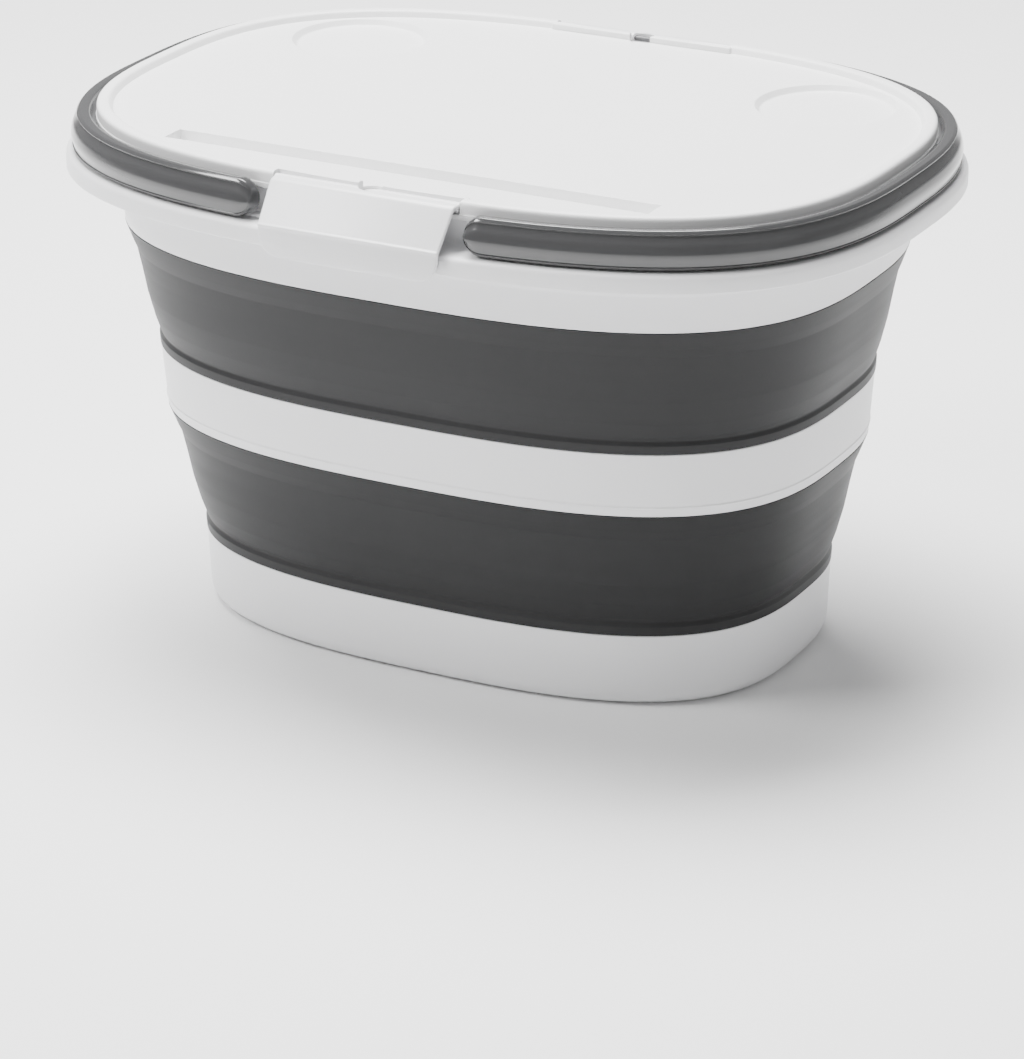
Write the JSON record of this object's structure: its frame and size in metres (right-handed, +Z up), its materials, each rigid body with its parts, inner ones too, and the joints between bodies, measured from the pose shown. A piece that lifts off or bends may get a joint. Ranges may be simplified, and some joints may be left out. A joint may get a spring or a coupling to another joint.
{
  "type": "collapsible foot bath tub",
  "caption": "Collapsible oval foot bath tub with bellows walls, bail handles and a latched lid whose folding legs turn it into a small table",
  "frame": {"origin": "centre of the base's underside, where the tub stands on the floor", "axes": "+X along the oval's long axis, +Y towards the back, +Z up; the rest pose is the open tub with its lid latched on"},
  "size_m": [0.445, 0.3364, 0.27],
  "materials": {
    "white_shell": "satin moulded polypropylene",
    "lid_white": "fine textured moulded polypropylene",
    "bellows": "satin soft moulded rubber",
    "latch_milky": "milky translucent polypropylene",
    "handle_gloss": "polished grey plastic",
    "leg_grey": "satin moulded grey plastic",
    "pins": "plain moulded pin",
    "foot_pad": "matt rubber pad"
  },
  "bodies": {
    "base": {"base_pan": "white_shell", "lower_bellows": "bellows"},
    "middle": {"middle_ring": "white_shell", "upper_bellows": "bellows"},
    "rim": {"rim": "white_shell", "handle_pin_left_front": "pins", "handle_pin_left_back": "pins", "handle_pin_right_front": "pins", "handle_pin_right_back": "pins"},
    "handle_left": {"handle_left": "handle_gloss"},
    "handle_right": {"handle_right": "handle_gloss"},
    "lid": {"lid": "lid_white", "latch_pin_front": "pins", "latch_pin_back": "pins", "leg_bracket_left_front": "white_shell", "leg_bracket_left_back": "white_shell", "leg_bracket_right_front": "white_shell", "leg_bracket_right_back": "white_shell", "leg_pin_left_front": "pins", "leg_pin_left_back": "pins", "leg_pin_right_front": "pins", "leg_pin_right_back": "pins"},
    "latch_front": {"latch_front": "latch_milky"},
    "latch_back": {"latch_back": "latch_milky"},
    "leg_left": {"leg_frame_left": "leg_grey", "leg_foot_left_front": "foot_pad", "leg_foot_left_back": "foot_pad"},
    "leg_right": {"leg_frame_right": "leg_grey", "leg_foot_right_front": "foot_pad", "leg_foot_right_back": "foot_pad"}
  },
  "joints": [
    {"name": "lower_collapse", "type": "slide", "parent": "base", "child": "middle", "axis": [0, 0, 1], "range_m": [-0.098, 0], "deforming": ["lower_bellows"]},
    {"name": "upper_collapse", "type": "slide", "parent": "middle", "child": "rim", "axis": [0, 0, 1], "range_m": [-0.098, 0], "deforming": ["upper_bellows"]},
    {"name": "handle_left_swing", "type": "hinge", "parent": "rim", "child": "handle_left", "pos_m": [-0.066, 0, 0.2572], "axis": [0, 1, 0], "range_deg": [0, 100]},
    {"name": "handle_right_swing", "type": "hinge", "parent": "rim", "child": "handle_right", "pos_m": [0.066, 0, 0.2572], "axis": [0, -1, 0], "range_deg": [0, 100]},
    {"name": "lid_lift", "type": "slide", "parent": "rim", "child": "lid", "axis": [0, 0, 1], "range_m": [0, 0.25]},
    {"name": "latch_front_swing", "type": "hinge", "parent": "lid", "child": "latch_front", "pos_m": [0, -0.1466, 0.2662], "axis": [-1, 0, 0], "range_deg": [0, 103]},
    {"name": "latch_back_swing", "type": "hinge", "parent": "lid", "child": "latch_back", "pos_m": [0, 0.1466, 0.2662], "axis": [1, 0, 0], "range_deg": [0, 103]},
    {"name": "leg_left_fold", "type": "hinge", "parent": "lid", "child": "leg_left", "pos_m": [-0.154, 0, 0.2505], "axis": [0, 1, 0], "range_deg": [0, 90]},
    {"name": "leg_right_fold", "type": "hinge", "parent": "lid", "child": "leg_right", "pos_m": [0.154, 0, 0.2505], "axis": [0, -1, 0], "range_deg": [0, 90]}
  ],
  "couplings": [
    {"joint": "upper_collapse", "follows": "lower_collapse", "ratio": 1},
    {"joint": "leg_left_fold", "follows": "lid_lift", "rad_per_m": 6.2832},
    {"joint": "leg_right_fold", "follows": "lid_lift", "rad_per_m": 6.2832}
  ]
}
